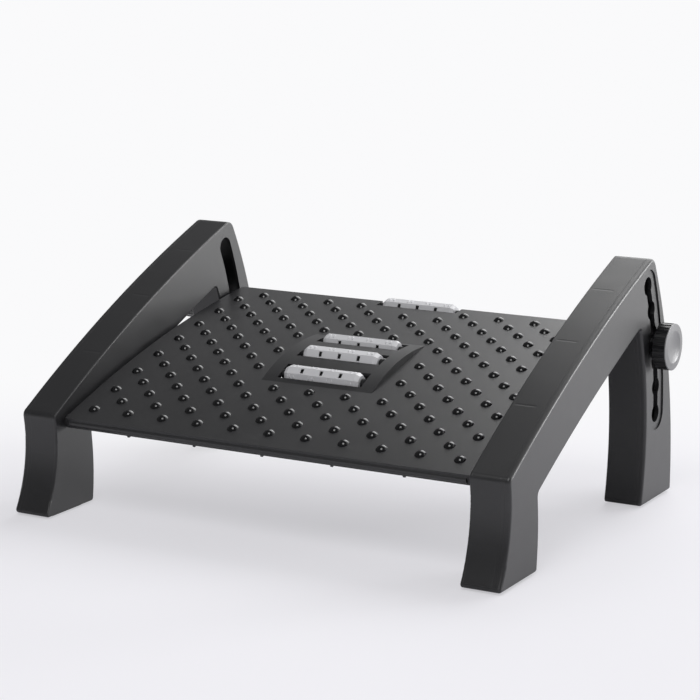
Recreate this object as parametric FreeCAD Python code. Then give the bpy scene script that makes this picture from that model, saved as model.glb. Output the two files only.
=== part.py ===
import FreeCAD, Part
import math
import os

from FreeCAD import Vector

# Tilting footrest that stands under a desk, in millimetres and degrees.
# +X is across the width, +Y runs from the low front edge to the raised rear, +Z is up.
# The origin is on the floor, under the middle of the legs.

# Legs, seen from the side: distances from the front toe and heights above the sole
LEG_SPAN = 460.0
LEG_THICKNESS = 34.6
LEG_DEPTH = 350.0
LEG_HEIGHT = 217.5
FRONT_FOOT_LENGTH = 68.4
REAR_FOOT_LENGTH = 69.5
KNEE_SETBACK = 15.5
KNEE_HEIGHT = 86.0
FRONT_CROTCH_DROP = 22.5
REAR_CROTCH_INSET = 79.0
REAR_CROTCH_DROP = 59.0
REAR_LEG_LEAN = 0.2437
FRONT_EDGE_BOW = 8.4
FRONT_LEG_BACK_BOW = 2.2
BEAM_TOP_BOW = 8.0
BEAM_UNDERSIDE_BOW = 3.9
REAR_LEG_FRONT_BOW = 11.2
REAR_LEG_BACK_BOW = 15.5
KNEE_RADIUS = 6.0
REAR_TOP_RADIUS = 10.0
CROTCH_RADIUS = 5.0
FOOT_RADIUS = 2.8
INNER_EDGE_RADIUS = 1.2
OUTER_EDGE_RADIUS = 2.6

# Walls inside a leg
COVER_DEPTH = 5.0
COVER_WALL = 2.8
SHELL_WALL = 3.2
LIP_THICKNESS = 1.6
LIP_DEPTH = 3.0
LIP_CLEARANCE = 0.25
LEG_RIB_THICKNESS = 2.0
LEG_RIB_SHARES = (0.254, 0.474, 0.68)
COVER_POST_RADIUS = 2.5
COVER_POST_LENGTH = 9.0
COVER_POST_CLEARANCE = 0.1
COVER_SOCKET_WALL = 1.9
BEAM_POST_SHARES = (0.29, 0.64, 0.89)
BEAM_POST_RISE = 5.3
FRONT_POST_INSET = 23.4
FRONT_POST_HEIGHT = 30.0
REAR_POST_INSET = 38.0
REAR_POST_HEIGHT = 36.0
CUT_THROUGH = 1.0
TOUCHING = 1e-6

# Rubber foot pads
PAD_WIDTH = 22.0
PAD_LENGTH = 50.0
PAD_THICKNESS = 2.8
PAD_PROUD = 1.6
PAD_CORNER_RADIUS = 6.0
PAD_SEAT_WALL = 1.9
PAD_SHIFT = 0.5

# Tilt hinge, from the front toe and the sole, and the notched slot that turns about it
HINGE_SETBACK = 35.0
HINGE_HEIGHT = 78.5
SLOT_INSET = 38.7
SLOT_TOP_MARGIN = 18.23
NOTCH_COUNT = 6
LOWEST_NOTCH_ANGLE = -0.27
REST_SHARE = 0.52
NOTCH_RADIUS = 8.0
NECK_WIDTH = 9.8
RECESS_HALF_WIDTH = 14.5
RECESS_DEPTH = 1.3
LAND_MARGIN = 2.0
GUIDE_CLEARANCE = 0.3

# Pivot bolts at the hinge
PIVOT_RADIUS = 3.0
RUNNING_CLEARANCE = 0.05
PIVOT_BOSS_RADIUS = 5.6
PIVOT_SEAT_LENGTH = 10.0
PIVOT_GRIP_LENGTH = 16.0
PIVOT_TIP_CLEARANCE = 1.0
PIVOT_HEAD_RADIUS = 5.0
PIVOT_HEAD_THICKNESS = 3.6
HEX_KEY_WIDTH = 4.0
HEX_KEY_DEPTH = 2.2
FACE_CLEARANCE = 0.3

# Footplate: a shallow arch that bows upwards from front to rear
PLATE_SIDE_GAP = 3.5
PLATE_FRONT_REACH = 9.0
PLATE_FRONT_RISE = 4.4
PLATE_REAR_OVERHANG = 17.7
PLATE_FRONT_SLOPE_OVER_REST = 7.75
PLATE_BOW_RADIUS = 1232.0
PLATE_THICKNESS = 3.0
SKIRT_THICKNESS = 3.0
SKIRT_DEPTH = 9.6
REAR_SKIRT_DEPTH = 13.0
LIP_BEAD_RADIUS = 3.3
LIP_BEAD_DROP = 5.4
LIP_BEAD_INSET = 4.0
PLATE_RIB_THICKNESS = 2.2
PLATE_RIB_DEPTH = 12.2
PLATE_RIB_SPACING = 65.5
PLATE_RIBS_EACH_SIDE = 2
CROSS_RIBS_BEFORE_POD = (44.0, 6.0)
CROSS_RIB_BEHIND_POD = 8.5
REAR_CROSS_RIB_INSET = 44.0
CROSS_RIB_DEPTH = 10.0

# Guide bosses at the rear corners, and the captive nuts in them
GUIDE_RADIUS = 8.7
GUIDE_ROOT_LENGTH = 13.0
GUSSET_THICKNESS = 8.0
GUSSET_LENGTH = 30.0
GUSSET_DEPTH = 20.0
STUD_RADIUS = 4.0
STUD_CLEARANCE = 0.08
NUT_WIDTH = 13.0
NUT_THICKNESS = 6.5
NUT_CLEARANCE = 0.15

# Massage nubs, in a diagonal lattice
NUB_RADIUS = 4.9
NUB_HEIGHT = 3.0
NUB_COLUMN_SPACING = 34.8
NUB_ROW_SPACING = 17.05
NUB_FIRST_ROW = 18.5
NUB_EDGE_MARGIN = 12.0

# Raised pod and its rollers
POD_WIDTH = 107.0
POD_FRONT = 98.0
POD_LENGTH = 98.5
POD_HEIGHT = 6.0
ROLLER_SPACING = 34.0
ROLLER_RADIUS = 8.8
ROLLER_LENGTH = 72.0
ROLLER_SIDES = 8
ROLLER_SINK = 3.4
ROLLER_END_LENGTH = 3.4
ROLLER_END_DROP = 2.0
ROLLER_POCKETS = 3
ROLLER_POCKET_PITCH = 18.6
ROLLER_POCKET_LENGTH = 3.0
ROLLER_POCKET_WIDTH = 4.6
ROLLER_POCKET_DEPTH = 2.0
ROLLER_TURNS = (8.0, 27.0, 40.0, 33.0)
REAR_ROLLER_INSET = 3.1
REAR_ROLLER_RISE = -4.6
ROLLER_SLOT_CLEARANCE = 1.0
NUB_STANDOFF = 2.4

# Roller cradles under the plate
AXLE_RADIUS = 2.5
AXLE_CLEARANCE = 0.1
TAB_GAP = 0.6
TAB_THICKNESS = 3.4
TAB_RADIUS = 3.9
TAB_SLOT_CLEARANCE = 0.5
CRADLE_HALF_WIDTH = 49.6
CRADLE_DROP = 14.8
CRADLE_THICKNESS = 2.5
CRADLE_END_CLEARANCE = 1.2
CRADLE_WINDOW_MARGIN = 7.0
CRADLE_WINDOW_HALF_WIDTH = 2.0
REAR_CRADLE_LENGTH = 25.0
SCREW_RADIUS = 1.5
SCREW_HEAD_RADIUS = 2.9
SCREW_HEAD_THICKNESS = 1.8
SCREW_LENGTH = 9.0
SCREW_BOSS_RADIUS = 3.1
SCREW_INSET = 4.2

# Clamping knobs
COLLAR_RADIUS = 11.5
COLLAR_THICKNESS = 2.5
COLLAR_CLEARANCE = 0.05
HUB_RADIUS = 9.5
HUB_LENGTH = 3.6
KNOB_RADIUS = 20.2
KNOB_GRIP_LENGTH = 10.9
KNOB_FLUTES = 24
FLUTE_RADIUS = 1.9
FLUTE_DEPTH = 0.8
CAP_RIM_THICKNESS = 0.8
CAP_BEVEL_HEIGHT = 0.5
CAP_DISH_RADIUS = 14.5
CAP_DISH_DEPTH = 1.8
CAP_LAND_WIDTH = 0.6
CAP_SPIGOT_RADIUS = 12.0
CAP_SPIGOT_LENGTH = 3.0
CAP_FIT = 0.1
STUD_GRIP_LENGTH = 3.0

# Sizes that follow from the ones above
LEG_OUTER = LEG_SPAN / 2
LEG_INNER = LEG_OUTER - LEG_THICKNESS
PARTING = LEG_OUTER - COVER_DEPTH
RECESS_FLOOR = LEG_OUTER - RECESS_DEPTH
REAR_TOP_SETBACK = LEG_DEPTH - REAR_LEG_LEAN * LEG_HEIGHT
SLOT_RADIUS = LEG_DEPTH - HINGE_SETBACK - SLOT_INSET
PLATE_HALF_WIDTH = LEG_INNER - PLATE_SIDE_GAP
PLATE_LENGTH = SLOT_RADIUS + PLATE_REAR_OVERHANG
POD_END = POD_FRONT + POD_LENGTH
POD_MIDDLE = (POD_FRONT + POD_END) / 2
REAR_ROLLER_PLACE = PLATE_LENGTH - REAR_ROLLER_INSET
TAB_INNER = ROLLER_LENGTH / 2 + TAB_GAP
TAB_OUTER = TAB_INNER + TAB_THICKNESS
SLOT_HALF_LENGTH = TAB_OUTER + TAB_SLOT_CLEARANCE
SLOT_HALF_WIDTH = ROLLER_RADIUS + ROLLER_SLOT_CLEARANCE


def highest_notch_angle():
    """The angle at which the slot's arc comes within its margin of the beam's top line."""
    climb = math.atan2(LEG_HEIGHT - KNEE_HEIGHT, REAR_TOP_SETBACK - KNEE_SETBACK)
    reach, rise = REAR_TOP_SETBACK - HINGE_SETBACK, LEG_HEIGHT - HINGE_HEIGHT
    hinge_to_top_line = rise * math.cos(climb) - reach * math.sin(climb)
    return math.degrees(climb + math.asin((hinge_to_top_line - SLOT_TOP_MARGIN) / SLOT_RADIUS))


HIGHEST_NOTCH_ANGLE = highest_notch_angle()
NOTCH_PITCH_ANGLE = (HIGHEST_NOTCH_ANGLE - LOWEST_NOTCH_ANGLE) / (NOTCH_COUNT - 1)
REST_ANGLE = LOWEST_NOTCH_ANGLE + REST_SHARE * (HIGHEST_NOTCH_ANGLE - LOWEST_NOTCH_ANGLE)
PLATE_FRONT_SLOPE = REST_ANGLE + PLATE_FRONT_SLOPE_OVER_REST


def side_point(setback, height, x=0.0):
    """A point given by its distance behind the front toe and its height above the sole."""
    return Vector(x, setback - LEG_DEPTH / 2, height + PAD_PROUD)


def bowed(start, end, bow):
    """An arc in the side view whose middle lies to the left of its chord by the bow."""
    chord = end - start
    left = Vector(0, -chord.z, chord.y).normalize()
    middle = (start + end) * 0.5 + left * bow
    return Part.Arc(start, middle, end).toShape()


def line(start, end):
    return Part.LineSegment(start, end).toShape()


def block(x0, x1, y0, y1, z0, z1):
    return Part.makeBox(x1 - x0, y1 - y0, z1 - z0, Vector(x0, y0, z0))


def rod(radius, x0, x1, centre):
    """A round bar along X whose axis passes through a point of the side view."""
    return Part.makeCylinder(radius, x1 - x0, Vector(x0, centre.y, centre.z), Vector(1, 0, 0))


def hexagon(width, x0, x1, centre):
    """A hexagonal bar along X, measured across its flats."""
    corner = width / math.sqrt(3)
    points = []
    for step in range(7):
        turn = math.radians(60 * step)
        points.append(Vector(x0, centre.y + corner * math.cos(turn), centre.z + corner * math.sin(turn)))
    return Part.Face(Part.makePolygon(points)).extrude(Vector(x1 - x0, 0, 0))


def mirrored(shape):
    return shape.mirror(Vector(0, 0, 0), Vector(1, 0, 0))


def fused(shapes):
    return shapes[0].multiFuse(shapes[1:]).removeSplitter()


def hinge_point(angle=None, radius=0.0):
    """The hinge centre, or a point at an angle and a radius from it."""
    centre = side_point(HINGE_SETBACK, HINGE_HEIGHT)
    if angle is None:
        return centre
    turn = math.radians(angle)
    return centre + Vector(0, radius * math.cos(turn), radius * math.sin(turn))


def arc_band(half_width, x0, x1):
    """A curved bar along the slot's arc, from the lowest notch to the highest, with round ends."""
    low, high = LOWEST_NOTCH_ANGLE, HIGHEST_NOTCH_ANGLE
    middle = (low + high) / 2
    reach = math.degrees(half_width / SLOT_RADIUS)
    outer, inner = SLOT_RADIUS + half_width, SLOT_RADIUS - half_width
    edges = [
        Part.Arc(hinge_point(low, outer), hinge_point(middle, outer), hinge_point(high, outer)),
        Part.Arc(hinge_point(high, outer), hinge_point(high + reach, SLOT_RADIUS), hinge_point(high, inner)),
        Part.Arc(hinge_point(high, inner), hinge_point(middle, inner), hinge_point(low, inner)),
        Part.Arc(hinge_point(low, inner), hinge_point(low - reach, SLOT_RADIUS), hinge_point(low, outer)),
    ]
    wire = Part.Wire([edge.toShape() for edge in edges])
    band = Part.Face(wire).extrude(Vector(x1 - x0, 0, 0))
    band.translate(Vector(x0, 0, 0))
    return band


# Legs

def leg_corners():
    """The corners of a leg's side view, in order round it from the toe, each with its radius."""
    return [
        (side_point(0, 0), FOOT_RADIUS),
        (side_point(FRONT_FOOT_LENGTH, 0), FOOT_RADIUS),
        (side_point(FRONT_FOOT_LENGTH, KNEE_HEIGHT - FRONT_CROTCH_DROP), CROTCH_RADIUS),
        (side_point(LEG_DEPTH - REAR_CROTCH_INSET, LEG_HEIGHT - REAR_CROTCH_DROP), CROTCH_RADIUS),
        (side_point(LEG_DEPTH - REAR_FOOT_LENGTH, 0), FOOT_RADIUS),
        (side_point(LEG_DEPTH, 0), FOOT_RADIUS),
        (side_point(REAR_TOP_SETBACK, LEG_HEIGHT), REAR_TOP_RADIUS),
        (side_point(KNEE_SETBACK, KNEE_HEIGHT), KNEE_RADIUS),
    ]


def leg_outline():
    """The side view of a leg: two feet under one rising beam, all with bowed edges."""
    toe, front_heel, front_crotch, rear_crotch, rear_toe, heel, rear_top, knee = [place for place, _ in leg_corners()]
    edges = [
        line(toe, front_heel),
        bowed(front_heel, front_crotch, -FRONT_LEG_BACK_BOW),
        bowed(front_crotch, rear_crotch, BEAM_UNDERSIDE_BOW),
        bowed(rear_crotch, rear_toe, REAR_LEG_FRONT_BOW),
        line(rear_toe, heel),
        bowed(heel, rear_top, -REAR_LEG_BACK_BOW),
        bowed(rear_top, knee, -BEAM_TOP_BOW),
        bowed(knee, toe, FRONT_EDGE_BOW),
    ]
    return Part.Face(Part.Wire(edges))


def leg_slab(inset, x0, x1):
    """The leg's outline, drawn in by an inset, between two planes across the width."""
    face = leg_outline()
    if inset:
        face = face.makeOffset2D(-inset, join=0)
    slab = face.extrude(Vector(x1 - x0, 0, 0))
    slab.translate(Vector(x0, 0, 0))
    return slab


def crossing_edges(shape, place):
    """The edges that run along X through a point of the side view."""
    found = []
    for edge in shape.Edges:
        box = edge.BoundBox
        along_x = max(box.YLength, box.ZLength) < TOUCHING
        if along_x and max(abs(box.YMin - place.y), abs(box.ZMin - place.z)) < TOUCHING:
            found.append(edge)
    return found


def edges_at(shape, x):
    """The edges that lie in one plane across the width."""
    return [edge for edge in shape.Edges if max(abs(edge.BoundBox.XMin - x), abs(edge.BoundBox.XMax - x)) < TOUCHING]


def leg_body():
    """The whole right leg as one block, with its corners rounded and then the edges of both side faces."""
    body = leg_slab(0, LEG_INNER, LEG_OUTER)
    for place, radius in leg_corners():
        body = body.makeFillet(radius, crossing_edges(body, place))
    for face, radius in ((LEG_INNER, INNER_EDGE_RADIUS), (LEG_OUTER, OUTER_EDGE_RADIUS)):
        body = body.makeFillet(radius, edges_at(body, face))
    return body


def cover_posts(radius, x0, x1):
    """Round posts along the beam's middle line and one in each foot."""
    _, _, (front_crotch, _), (rear_crotch, _), _, _, (rear_top, _), (knee, _) = leg_corners()
    front, rear = (front_crotch + knee) * 0.5, (rear_crotch + rear_top) * 0.5
    rise = Vector(0, 0, BEAM_POST_RISE)
    centres = [front + (rear - front) * share + rise for share in BEAM_POST_SHARES]
    centres.append(side_point(FRONT_FOOT_LENGTH - FRONT_POST_INSET, FRONT_POST_HEIGHT))
    centres.append(side_point(LEG_DEPTH - REAR_POST_INSET, REAR_POST_HEIGHT))
    return [rod(radius, x0, x1, centre) for centre in centres]


def leg_ribs():
    """Webs across the beam, where the top of the real beam shows faint sink marks."""
    inside = leg_slab(SHELL_WALL, LEG_INNER + SHELL_WALL, PARTING - LIP_DEPTH - FACE_CLEARANCE)
    ribs = []
    for share in LEG_RIB_SHARES:
        y = side_point(share * LEG_DEPTH, 0).y
        web = block(LEG_INNER, LEG_OUTER, y, y + LEG_RIB_THICKNESS, 0, LEG_HEIGHT + PAD_PROUD)
        ribs.append(web.common(inside))
    return ribs


def pad_places():
    return {
        "front": side_point(FRONT_FOOT_LENGTH / 2 + PAD_SHIFT, 0),
        "rear": side_point(LEG_DEPTH - REAR_FOOT_LENGTH / 2 - PAD_SHIFT, 0),
    }


def pad_block(place, clearance, z0, z1):
    """A block with round corners that lies under a foot."""
    middle = (LEG_INNER + PARTING) / 2
    half_width, half_length = PAD_WIDTH / 2 + clearance, PAD_LENGTH / 2 + clearance
    pad = block(middle - half_width, middle + half_width, place.y - half_length, place.y + half_length, z0, z1)
    upright = [edge for edge in pad.Edges if edge.BoundBox.ZLength > (z1 - z0) / 2]
    return pad.makeFillet(PAD_CORNER_RADIUS + clearance, upright)


def leg_shell(body):
    """The inner half of a leg: a tray that is open towards its cover."""
    outside = body.common(block(LEG_INNER, PARTING, -LEG_DEPTH, LEG_DEPTH, 0, LEG_DEPTH))
    cavity = leg_slab(SHELL_WALL, LEG_INNER + SHELL_WALL, PARTING)
    pivot_seat = rod(PIVOT_BOSS_RADIUS, LEG_INNER + SHELL_WALL, LEG_INNER + PIVOT_SEAT_LENGTH, hinge_point())
    sockets = cover_posts(
        COVER_POST_RADIUS + COVER_POST_CLEARANCE + COVER_SOCKET_WALL,
        LEG_INNER + SHELL_WALL,
        PARTING - LIP_DEPTH - FACE_CLEARANCE,
    )
    pad_floors = []
    for place in pad_places().values():
        pad_floors.append(pad_block(place, PAD_SEAT_WALL, PAD_PROUD, PAD_THICKNESS + PAD_SEAT_WALL))
    shell = fused([outside.cut(cavity), pivot_seat] + sockets + leg_ribs() + pad_floors)
    holes = cover_posts(COVER_POST_RADIUS + COVER_POST_CLEARANCE, LEG_INNER + SHELL_WALL, PARTING)
    holes.append(rod(PIVOT_RADIUS + RUNNING_CLEARANCE, LEG_INNER, PARTING, hinge_point()))
    holes.append(arc_band(GUIDE_RADIUS + GUIDE_CLEARANCE, LEG_INNER - CUT_THROUGH, PARTING))
    for place in pad_places().values():
        holes.append(pad_block(place, 0, 0, PAD_THICKNESS))
    return shell.cut(Part.makeCompound(holes))


def leg_cover(body):
    """The outer half of a leg: a shallow lid with the notched slot in its recess."""
    outside = body.common(block(PARTING, LEG_OUTER, -LEG_DEPTH, LEG_DEPTH, 0, LEG_DEPTH))
    hollow = leg_slab(SHELL_WALL, PARTING, LEG_OUTER - COVER_WALL)
    land = arc_band(RECESS_HALF_WIDTH + LAND_MARGIN, PARTING, LEG_OUTER - COVER_WALL)
    lip_outer = leg_slab(SHELL_WALL + LIP_CLEARANCE, PARTING - LIP_DEPTH, LEG_OUTER - COVER_WALL)
    lip_inner = leg_slab(SHELL_WALL + LIP_CLEARANCE + LIP_THICKNESS, PARTING - LIP_DEPTH, LEG_OUTER - COVER_WALL)
    posts = cover_posts(COVER_POST_RADIUS, PARTING - COVER_POST_LENGTH, LEG_OUTER - COVER_WALL)
    cover = fused([outside.cut(hollow.cut(land)), lip_outer.cut(lip_inner)] + posts)
    openings = [arc_band(RECESS_HALF_WIDTH, RECESS_FLOOR, LEG_OUTER + CUT_THROUGH)]
    openings.append(arc_band(NECK_WIDTH / 2, PARTING - LIP_DEPTH, LEG_OUTER + CUT_THROUGH))
    for notch in range(NOTCH_COUNT):
        angle = LOWEST_NOTCH_ANGLE + notch * NOTCH_PITCH_ANGLE
        place = hinge_point(angle, SLOT_RADIUS)
        openings.append(rod(NOTCH_RADIUS, PARTING - LIP_DEPTH, LEG_OUTER + CUT_THROUGH, place))
    return cover.cut(fused(openings))


# Footplate and what is moulded on it

def plate_slope(place):
    """The slope of the plate's top at a distance along it from its front edge."""
    return math.radians(PLATE_FRONT_SLOPE) - place / PLATE_BOW_RADIUS


def plate_point(place, rise, x=0.0):
    """A point over the plate's top, by its distance along the plate and its rise above it."""
    start = math.radians(PLATE_FRONT_SLOPE)
    slope = plate_slope(place)
    setback = HINGE_SETBACK - PLATE_FRONT_REACH + PLATE_BOW_RADIUS * (math.sin(start) - math.sin(slope))
    height = HINGE_HEIGHT + PLATE_FRONT_RISE + PLATE_BOW_RADIUS * (math.cos(slope) - math.cos(start))
    return side_point(setback - math.sin(slope) * rise, height + math.cos(slope) * rise, x)


def on_plate(shape, place, rise=0.0, x=0.0):
    """Moves a shape from the origin onto the plate, with its Y along and its Z square to the top."""
    turn = FreeCAD.Rotation(Vector(1, 0, 0), math.degrees(plate_slope(place)))
    moved = shape.copy()
    moved.Placement = FreeCAD.Placement(plate_point(place, rise, x), turn).multiply(shape.Placement)
    return moved


def plate_band(start, end, low, high, x0, x1):
    """A bar that follows the plate's bow, between two places, two rises and two widths."""
    middle = (start + end) / 2
    edges = [
        Part.Arc(plate_point(start, high), plate_point(middle, high), plate_point(end, high)).toShape(),
        line(plate_point(end, high), plate_point(end, low)),
        Part.Arc(plate_point(end, low), plate_point(middle, low), plate_point(start, low)).toShape(),
        line(plate_point(start, low), plate_point(start, high)),
    ]
    band = Part.Face(Part.Wire(edges)).extrude(Vector(x1 - x0, 0, 0))
    band.translate(Vector(x0, 0, 0))
    return band


def pod_rise(place):
    """The height of the raised pod over the plate's top, a low crown from its front to its rear."""
    share = (place - POD_MIDDLE) / (POD_LENGTH / 2)
    return POD_HEIGHT * (1 - share * share)


def pod_solid(inset, drop, floor):
    """The pod's crown, drawn in by an inset and lowered by a drop, standing on a floor."""
    start, end = POD_FRONT + inset, POD_END - inset
    half_width = POD_WIDTH / 2 - inset
    crown = Part.Arc(plate_point(start, -drop), plate_point(POD_MIDDLE, POD_HEIGHT - drop), plate_point(end, -drop))
    edges = [
        crown.toShape(),
        line(plate_point(end, -drop), plate_point(end, floor)),
        line(plate_point(end, floor), plate_point(start, floor)),
        line(plate_point(start, floor), plate_point(start, -drop)),
    ]
    solid = Part.Face(Part.Wire(edges)).extrude(Vector(2 * half_width, 0, 0))
    solid.translate(Vector(-half_width, 0, 0))
    return solid


def roller_seats():
    """Each roller's place along the plate and the rise of its axle, from the front one to the rear one."""
    seats = []
    for step in (-1, 0, 1):
        place = POD_MIDDLE + step * ROLLER_SPACING
        seats.append((place, pod_rise(place) - ROLLER_SINK))
    seats.append((REAR_ROLLER_PLACE, REAR_ROLLER_RISE))
    return seats


def cradle_spans():
    """Where the pod's cradle and the rear roller's cradle start and end along the plate."""
    margin = SKIRT_THICKNESS + CRADLE_END_CLEARANCE
    rear_end = REAR_ROLLER_PLACE + TAB_RADIUS
    return {"pod": (POD_FRONT + margin, POD_END - margin), "rear": (rear_end - REAR_CRADLE_LENGTH, rear_end)}


def screw_spots(span):
    """The four corners of a cradle where its screws go, as places along the plate and across it."""
    start, end = span
    across = CRADLE_HALF_WIDTH - SCREW_BOSS_RADIUS
    return [(place, x) for place in (start + SCREW_INSET, end - SCREW_INSET) for x in (-across, across)]


def guide_centre():
    return hinge_point(REST_ANGLE, SLOT_RADIUS)


def plate_ribs():
    """Ribs under the plate, front to rear and from side to side."""
    ribs = []
    first, last = SKIRT_THICKNESS / 2, PLATE_LENGTH - SKIRT_THICKNESS / 2
    for step in range(-PLATE_RIBS_EACH_SIDE, PLATE_RIBS_EACH_SIDE + 1):
        x = step * PLATE_RIB_SPACING
        left, right = x - PLATE_RIB_THICKNESS / 2, x + PLATE_RIB_THICKNESS / 2
        stops = [(first, last)]
        if abs(x) < POD_WIDTH / 2:
            rear_start = cradle_spans()["rear"][0] - CRADLE_END_CLEARANCE
            stops = [(first, POD_FRONT + SKIRT_THICKNESS / 2)]
            stops.append((POD_END - SKIRT_THICKNESS / 2, rear_start))
        for start, end in stops:
            ribs.append(plate_band(start, end, -PLATE_RIB_DEPTH, -PLATE_THICKNESS / 2, left, right))
    places = [POD_FRONT - gap for gap in CROSS_RIBS_BEFORE_POD]
    places += [POD_END + CROSS_RIB_BEHIND_POD, PLATE_LENGTH - REAR_CROSS_RIB_INSET]
    for place in places:
        half_width = PLATE_HALF_WIDTH - SKIRT_THICKNESS / 2
        end = place + PLATE_RIB_THICKNESS
        ribs.append(plate_band(place, end, -CROSS_RIB_DEPTH, -PLATE_THICKNESS / 2, -half_width, half_width))
    return ribs


def pod_walls():
    """The walls that hang down around the pod's opening."""
    half = POD_WIDTH / 2
    inner_half = half - SKIRT_THICKNESS
    outer = plate_band(POD_FRONT, POD_END, -CROSS_RIB_DEPTH, -PLATE_THICKNESS / 2, -half, half)
    start, end = POD_FRONT + SKIRT_THICKNESS, POD_END - SKIRT_THICKNESS
    return outer.cut(plate_band(start, end, -PLATE_RIB_DEPTH, 0, -inner_half, inner_half))


def side_fittings():
    """One side's hinge boss at the front, and its gusset with the guide boss at the rear."""
    edge = PLATE_HALF_WIDTH
    hinge_boss = rod(PIVOT_BOSS_RADIUS, edge - PIVOT_GRIP_LENGTH, LEG_INNER - FACE_CLEARANCE, hinge_point())
    start, end = PLATE_LENGTH - GUSSET_LENGTH, PLATE_LENGTH
    gusset = plate_band(start, end, -GUSSET_DEPTH, -PLATE_THICKNESS / 2, edge - GUSSET_THICKNESS, edge)
    guide = rod(GUIDE_RADIUS, edge - GUIDE_ROOT_LENGTH, PARTING - GUIDE_CLEARANCE, guide_centre())
    return [hinge_boss, gusset, guide]


def side_bores():
    """The holes for one side's pivot bolt, knob stud and captive nut."""
    edge = PLATE_HALF_WIDTH
    root = edge - GUIDE_ROOT_LENGTH
    pivot = rod(PIVOT_RADIUS + RUNNING_CLEARANCE, edge - PIVOT_GRIP_LENGTH, LEG_INNER, hinge_point())
    stud = rod(STUD_RADIUS + STUD_CLEARANCE, root, PARTING, guide_centre())
    pocket = hexagon(NUT_WIDTH + 2 * NUT_CLEARANCE, root, root + NUT_THICKNESS, guide_centre())
    return [pivot, stud, pocket]


def footplate():
    """The plate in one moulding: arched top, skirts, ribs, pod, roller openings and bosses."""
    half = PLATE_HALF_WIDTH
    top = plate_band(0, PLATE_LENGTH, -PLATE_THICKNESS, 0, -half, half)
    parts = [top]
    parts.append(plate_band(0, SKIRT_THICKNESS, -SKIRT_DEPTH, -PLATE_THICKNESS / 2, -half, half))
    bead = half - LIP_BEAD_INSET
    parts.append(rod(LIP_BEAD_RADIUS, -bead, bead, plate_point(SKIRT_THICKNESS / 2, -LIP_BEAD_DROP)))
    rear = PLATE_LENGTH - SKIRT_THICKNESS
    parts.append(plate_band(rear, PLATE_LENGTH, -REAR_SKIRT_DEPTH, -PLATE_THICKNESS / 2, -half, half))
    side = plate_band(0, PLATE_LENGTH, -SKIRT_DEPTH, -PLATE_THICKNESS / 2, half - SKIRT_THICKNESS, half)
    parts += [side, mirrored(side)]
    for fitting in side_fittings():
        parts += [fitting, mirrored(fitting)]
    parts += plate_ribs()
    parts += [pod_walls(), pod_solid(0, 0, -PLATE_THICKNESS)]
    plate = fused(parts)

    cuts = [pod_solid(SKIRT_THICKNESS, PLATE_THICKNESS, -CROSS_RIB_DEPTH)]
    for place, rise in roller_seats():
        length, width = SLOT_HALF_LENGTH, SLOT_HALF_WIDTH
        cuts.append(on_plate(block(-length, length, -width, width, -CRADLE_DROP, CRADLE_DROP), place, rise))
    start = cradle_spans()["rear"][0] - CRADLE_END_CLEARANCE
    across = POD_WIDTH / 2 - SKIRT_THICKNESS
    cuts.append(plate_band(start, rear, -REAR_SKIRT_DEPTH - CUT_THROUGH, -PLATE_THICKNESS, -across, across))
    for bore in side_bores():
        cuts += [bore, mirrored(bore)]
    plate = plate.cut(Part.makeCompound(cuts))

    bosses, holes = [], []
    for span in cradle_spans().values():
        for place, x in screw_spots(span):
            reach = CRADLE_DROP - PLATE_THICKNESS / 2
            boss = Part.makeCylinder(SCREW_BOSS_RADIUS, reach, Vector(0, 0, -CRADLE_DROP))
            hole = Part.makeCylinder(SCREW_RADIUS + RUNNING_CLEARANCE, SCREW_LENGTH, Vector(0, 0, -CRADLE_DROP))
            bosses.append(on_plate(boss, place, 0, x))
            holes.append(on_plate(hole, place, 0, x))
    return fused([plate] + bosses).cut(Part.makeCompound(holes))


def nub_spots():
    """The places of the massage nubs, in rows that alternate, clear of the pod and the rollers."""
    spots = []
    pod_half = POD_WIDTH / 2 + NUB_RADIUS + NUB_STANDOFF
    slot_half = SLOT_HALF_LENGTH + NUB_RADIUS + NUB_STANDOFF
    rows = int((PLATE_LENGTH - NUB_EDGE_MARGIN - NUB_FIRST_ROW) / NUB_ROW_SPACING) + 1
    long_row = int(2 * (PLATE_HALF_WIDTH - NUB_EDGE_MARGIN) / NUB_COLUMN_SPACING) + 1
    for row in range(rows):
        place = NUB_FIRST_ROW + row * NUB_ROW_SPACING
        count = long_row - row % 2
        beside_pod = POD_FRONT - NUB_RADIUS < place < POD_END + NUB_RADIUS
        beside_rear_roller = place > REAR_ROLLER_PLACE - SLOT_HALF_WIDTH - NUB_RADIUS - NUB_STANDOFF
        for column in range(count):
            x = (column - (count - 1) / 2) * NUB_COLUMN_SPACING
            if beside_pod and abs(x) < pod_half:
                continue
            if beside_rear_roller and abs(x) < slot_half:
                continue
            spots.append((place, x))
    return spots


def dome_radius(half_width, height):
    """The radius of the ball that a dome of this half width and height is part of."""
    return (half_width ** 2 + height ** 2) / (2 * height)


def massage_nubs():
    """Low round domes, all alike, each seated on the plate's top."""
    radius = dome_radius(NUB_RADIUS, NUB_HEIGHT)
    base_angle = math.degrees(math.asin((radius - NUB_HEIGHT) / radius))
    dome = Part.makeSphere(radius, Vector(0, 0, NUB_HEIGHT - radius), Vector(0, 0, 1), base_angle, 90, 360)
    return Part.makeCompound([on_plate(dome, place, 0, x) for place, x in nub_spots()])


# Rollers and cradles

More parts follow.
